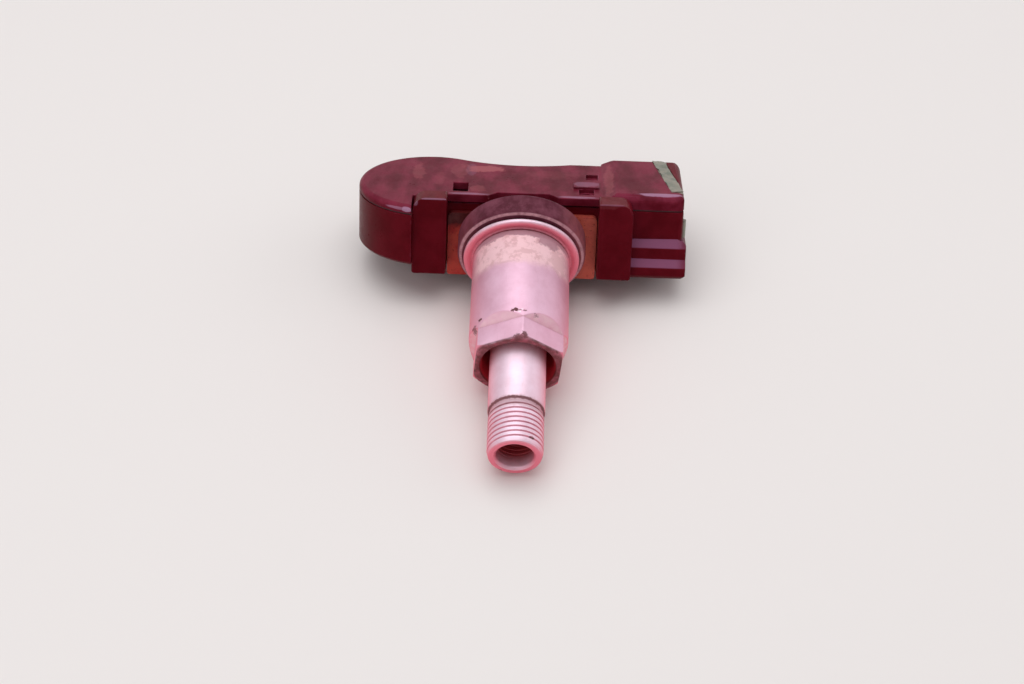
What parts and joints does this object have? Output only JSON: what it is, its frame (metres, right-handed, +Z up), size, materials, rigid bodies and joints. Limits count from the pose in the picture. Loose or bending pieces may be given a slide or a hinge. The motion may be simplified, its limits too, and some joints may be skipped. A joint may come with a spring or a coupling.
{
  "type": "tyre pressure sensor",
  "caption": "Clamp-in tyre pressure sensor: flat plastic housing with round battery lobe, hollow metal valve stem, collar nut, washer and rubber grommet.",
  "frame": {"origin": "middle of the sensor on the table it lies on", "axes": "+Z up, +X along the housing to the raised block, -Y where the valve points"},
  "size_m": [0.0486, 0.06, 0.0195],
  "materials": {
    "case_plastic": "satin moulded plastic, dusty",
    "cover_plastic": "satin moulded plastic with glossy rims, dusty",
    "green_sealant": "cured sealing compound",
    "rusty_steel": "zinc plated steel, browned",
    "turned_aluminium": "turned and worn",
    "nut_aluminium": "satin anodised, worn",
    "screw_steel": "plain",
    "seal_rubber": "dusty rubber",
    "cell_steel": "bright steel can",
    "tab_nickel": "nickel strip",
    "felt": "thin felt",
    "board_laminate": "green solder resist",
    "sensor_can": "stamped lid",
    "soft_tube": "soft silicone",
    "membrane": "porous white film",
    "chip_resin": "moulded resin",
    "ferrite": "sintered ferrite",
    "copper": "enamelled wire",
    "antenna_brass": "stamped strip",
    "chip_ceramic": "ceramic chips"
  },
  "bodies": {
    "sensor": {"housing_base": "case_plastic", "housing_cover": "cover_plastic", "seal_bead": "green_sealant", "seat_plate": "rusty_steel", "valve_stem": "turned_aluminium", "stem_screw": "screw_steel", "lock_washer": "screw_steel", "grommet": "seal_rubber", "coin_cell": "cell_steel", "cell_tab_plus": "tab_nickel", "cell_tab_minus": "tab_nickel", "cell_pad": "felt", "circuit_board": "board_laminate", "pressure_sensor": "sensor_can", "port_seal": "soft_tube", "port_filter": "membrane", "transmitter_chip": "chip_resin", "timing_crystal": "cell_steel", "coil_core": "ferrite", "coil_winding": "copper", "loop_antenna": "antenna_brass", "chip_capacitors": "chip_ceramic", "potting": "green_sealant"},
    "washer": {"seat_washer": "turned_aluminium"},
    "nut": {"collar_nut": "nut_aluminium"}
  },
  "joints": [
    {"name": "washer_lift", "type": "slide", "parent": "sensor", "child": "washer", "axis": [0, -0.989, -0.1481], "range_m": [0, 0.01]},
    {"name": "nut_turn", "type": "hinge", "parent": "washer", "child": "nut", "pos_m": [0.0001, 0.00649, 0.00982], "axis": [0, -0.989, -0.1481], "range_deg": [0, 3600]}
  ],
  "couplings": [
    {"joint": "washer_lift", "follows": "nut_turn", "m_per_rad": 0.00015915}
  ]
}
